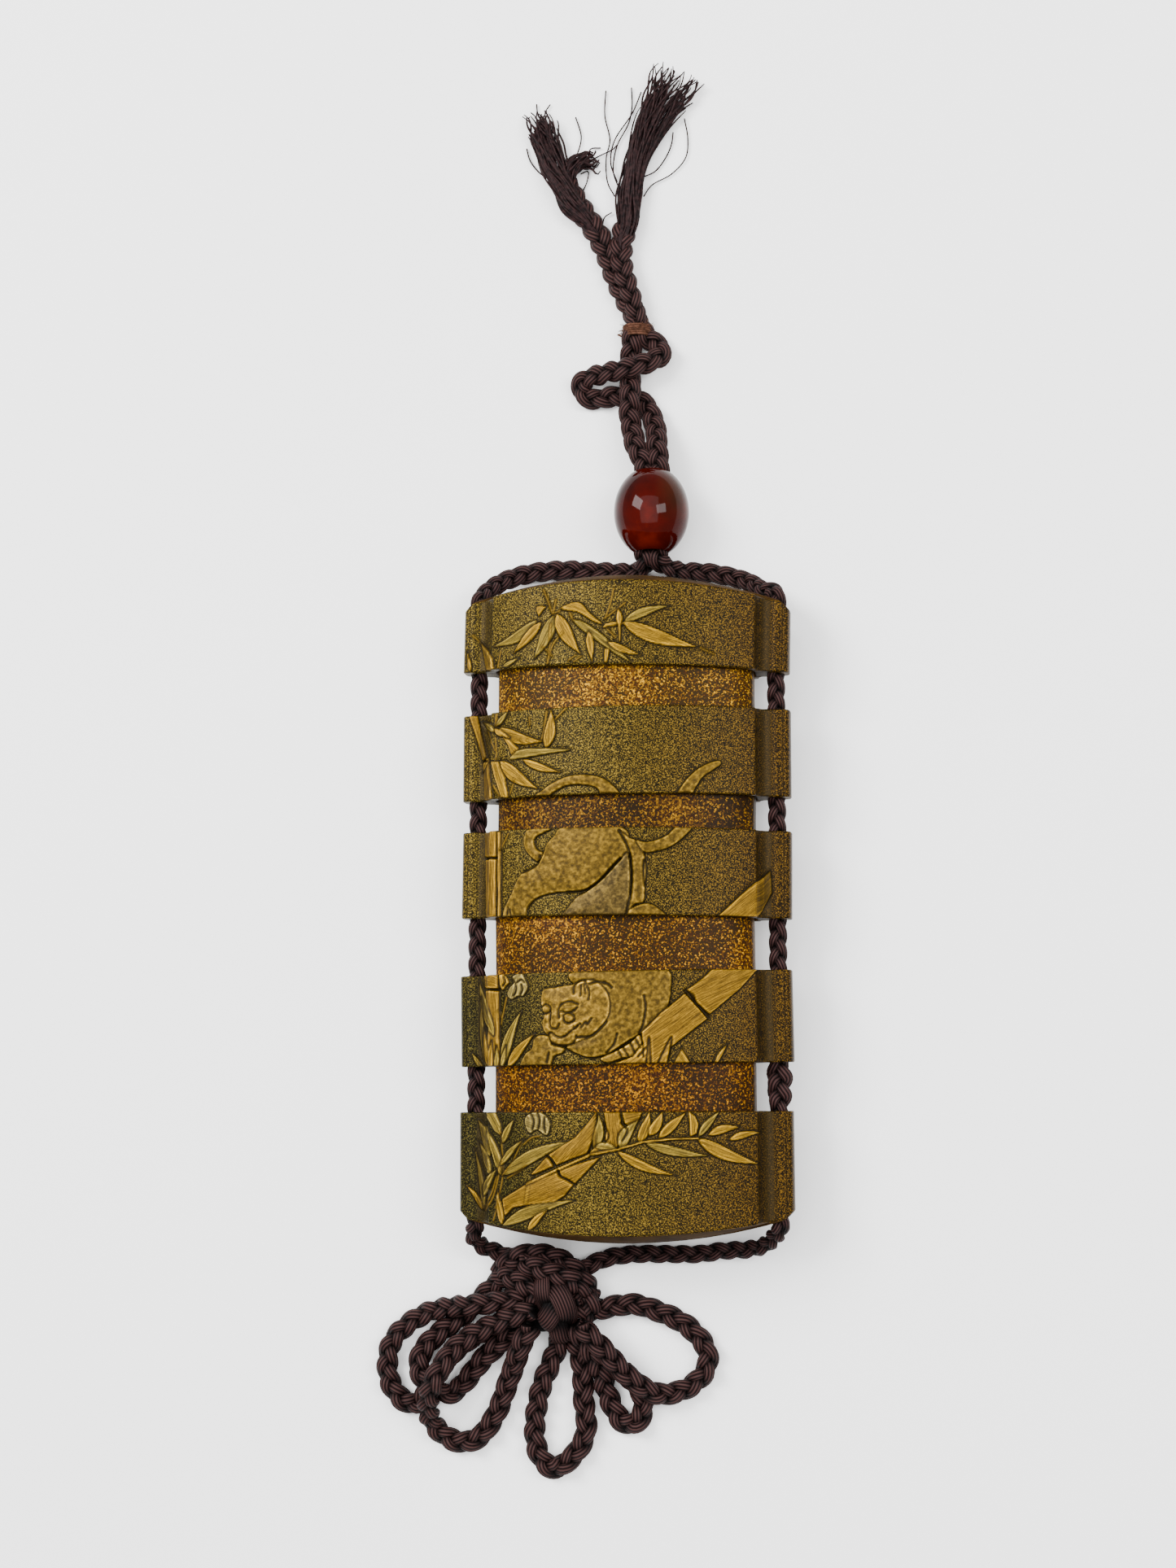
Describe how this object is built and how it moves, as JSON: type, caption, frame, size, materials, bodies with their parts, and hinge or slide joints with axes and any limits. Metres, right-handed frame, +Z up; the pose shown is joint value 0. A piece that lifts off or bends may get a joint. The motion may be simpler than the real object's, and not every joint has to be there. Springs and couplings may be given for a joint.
{
  "type": "inro case",
  "caption": "Small lens-section lacquered case of lid, boxes and bottom box that slide onto each other, strung on silk cord with a bead and a bow; drawn apart, lying on its back.",
  "frame": {"origin": "centre of the case's underside where it lies on its back, the cord, bow and bead left out", "axes": "+Y along the case from the bottom box towards the lid and bead, +Z up out of the picture face, +X to the right"},
  "size_m": [0.0768, 0.2635, 0.0226],
  "materials": {
    "gold_lacquer": "gold-sprinkled lacquer on wood, raised gold picture, polished",
    "carnelian": "deep red polished stone",
    "silk_cord": "dark purple-brown plaited silk",
    "binding_thread": "rust-coloured whipping thread"
  },
  "bodies": {
    "root": {"lid": "gold_lacquer", "tier_1": "gold_lacquer", "tier_2": "gold_lacquer", "tier_3": "gold_lacquer", "bottom_box": "gold_lacquer", "bead": "carnelian", "cord_binding": "binding_thread", "bow_knot": "silk_cord", "cord_left": "silk_cord", "cord_right": "silk_cord", "cord_end": "silk_cord", "bow_loop_1": "silk_cord", "bow_loop_2": "silk_cord", "bow_loop_3": "silk_cord", "bow_loop_4": "silk_cord", "bow_loop_5": "silk_cord", "bow_loop_6": "silk_cord", "cord_fringe_left": "silk_cord", "cord_fringe_right": "silk_cord"}
  },
  "joints": []
}
